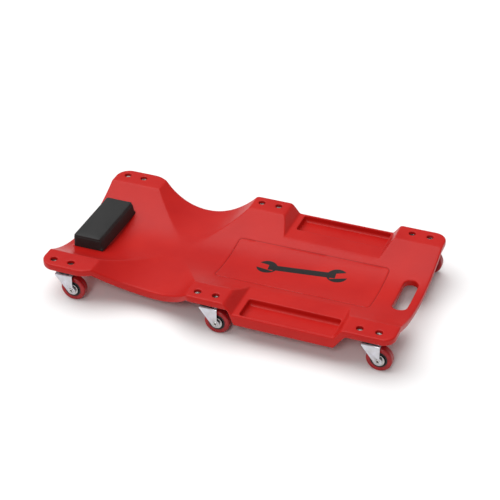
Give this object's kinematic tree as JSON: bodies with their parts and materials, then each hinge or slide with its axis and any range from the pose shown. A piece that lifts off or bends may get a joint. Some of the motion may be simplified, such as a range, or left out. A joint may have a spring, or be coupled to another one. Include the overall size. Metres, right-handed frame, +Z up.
{
  "type": "mechanics creeper",
  "caption": "Low rolling creeper: moulded plastic deck with raised caster pads, waist, tool trays, handle slot and padded headrest, on swivel casters.",
  "frame": {"origin": "on the floor under the middle of the deck", "axes": "+X from the head end to the foot end, +Y to the left of a person lying on it, +Z up"},
  "size_m": [0.899, 0.482, 0.1015],
  "materials": {
    "deck_plastic": "satin moulded red, fine texture",
    "board": "raw plywood",
    "cushion_cover": "soft grained vinyl",
    "zinc": "bright zinc plate",
    "plated_steel": "bright plated pressed steel",
    "ball_steel": "greased bearing steel",
    "hub_plastic": "moulded black",
    "tyre": "smooth dark red polyurethane"
  },
  "bodies": {
    "deck": {"deck_shell": "deck_plastic", "headrest_board": "board", "headrest_cushion": "cushion_cover", "headrest_screws": "zinc", "caster_bolts": "zinc", "bolt_washers": "zinc", "lock_nuts": "zinc", "kingpins": "zinc", "race_cups": "zinc", "top_plate_head_left": "plated_steel", "top_plate_head_right": "plated_steel", "top_plate_mid_left": "plated_steel", "top_plate_mid_right": "plated_steel", "top_plate_foot_left": "plated_steel", "top_plate_foot_right": "plated_steel"},
    "swivel_head_left": {"fork_head_left": "plated_steel", "axle_head_left": "zinc", "axle_bush_head_left": "zinc", "race_balls_head_left": "ball_steel"},
    "wheel_head_left": {"wheel_hub_head_left": "hub_plastic", "tyre_head_left": "tyre", "dust_caps_head_left": "plated_steel"},
    "swivel_head_right": {"fork_head_right": "plated_steel", "axle_head_right": "zinc", "axle_bush_head_right": "zinc", "race_balls_head_right": "ball_steel"},
    "wheel_head_right": {"wheel_hub_head_right": "hub_plastic", "tyre_head_right": "tyre", "dust_caps_head_right": "plated_steel"},
    "swivel_mid_left": {"fork_mid_left": "plated_steel", "axle_mid_left": "zinc", "axle_bush_mid_left": "zinc", "race_balls_mid_left": "ball_steel"},
    "wheel_mid_left": {"wheel_hub_mid_left": "hub_plastic", "tyre_mid_left": "tyre", "dust_caps_mid_left": "plated_steel"},
    "swivel_mid_right": {"fork_mid_right": "plated_steel", "axle_mid_right": "zinc", "axle_bush_mid_right": "zinc", "race_balls_mid_right": "ball_steel"},
    "wheel_mid_right": {"wheel_hub_mid_right": "hub_plastic", "tyre_mid_right": "tyre", "dust_caps_mid_right": "plated_steel"},
    "swivel_foot_left": {"fork_foot_left": "plated_steel", "axle_foot_left": "zinc", "axle_bush_foot_left": "zinc", "race_balls_foot_left": "ball_steel"},
    "wheel_foot_left": {"wheel_hub_foot_left": "hub_plastic", "tyre_foot_left": "tyre", "dust_caps_foot_left": "plated_steel"},
    "swivel_foot_right": {"fork_foot_right": "plated_steel", "axle_foot_right": "zinc", "axle_bush_foot_right": "zinc", "race_balls_foot_right": "ball_steel"},
    "wheel_foot_right": {"wheel_hub_foot_right": "hub_plastic", "tyre_foot_right": "tyre", "dust_caps_foot_right": "plated_steel"}
  },
  "joints": [
    {"name": "head_left_swivel", "type": "hinge", "parent": "deck", "child": "swivel_head_left", "pos_m": [-0.3965, 0.214, 0.083], "axis": [0, 0, 1], "continuous": true},
    {"name": "head_left_roll", "type": "hinge", "parent": "swivel_head_left", "child": "wheel_head_left", "pos_m": [-0.3681, 0.214, 0.03175], "axis": [0, 1, 0], "continuous": true},
    {"name": "head_right_swivel", "type": "hinge", "parent": "deck", "child": "swivel_head_right", "pos_m": [-0.3965, -0.214, 0.083], "axis": [0, 0, 1], "continuous": true},
    {"name": "head_right_roll", "type": "hinge", "parent": "swivel_head_right", "child": "wheel_head_right", "pos_m": [-0.3681, -0.214, 0.03175], "axis": [0, 1, 0], "continuous": true},
    {"name": "mid_left_swivel", "type": "hinge", "parent": "deck", "child": "swivel_mid_left", "pos_m": [-0.0165, 0.214, 0.083], "axis": [0, 0, 1], "continuous": true},
    {"name": "mid_left_roll", "type": "hinge", "parent": "swivel_mid_left", "child": "wheel_mid_left", "pos_m": [0.0119, 0.214, 0.03175], "axis": [0, 1, 0], "continuous": true},
    {"name": "mid_right_swivel", "type": "hinge", "parent": "deck", "child": "swivel_mid_right", "pos_m": [-0.0165, -0.214, 0.083], "axis": [0, 0, 1], "continuous": true},
    {"name": "mid_right_roll", "type": "hinge", "parent": "swivel_mid_right", "child": "wheel_mid_right", "pos_m": [0.0119, -0.214, 0.03175], "axis": [0, 1, 0], "continuous": true},
    {"name": "foot_left_swivel", "type": "hinge", "parent": "deck", "child": "swivel_foot_left", "pos_m": [0.3855, 0.214, 0.083], "axis": [0, 0, 1], "continuous": true},
    {"name": "foot_left_roll", "type": "hinge", "parent": "swivel_foot_left", "child": "wheel_foot_left", "pos_m": [0.4139, 0.214, 0.03175], "axis": [0, 1, 0], "continuous": true},
    {"name": "foot_right_swivel", "type": "hinge", "parent": "deck", "child": "swivel_foot_right", "pos_m": [0.3855, -0.214, 0.083], "axis": [0, 0, 1], "continuous": true},
    {"name": "foot_right_roll", "type": "hinge", "parent": "swivel_foot_right", "child": "wheel_foot_right", "pos_m": [0.4139, -0.214, 0.03175], "axis": [0, 1, 0], "continuous": true}
  ]
}
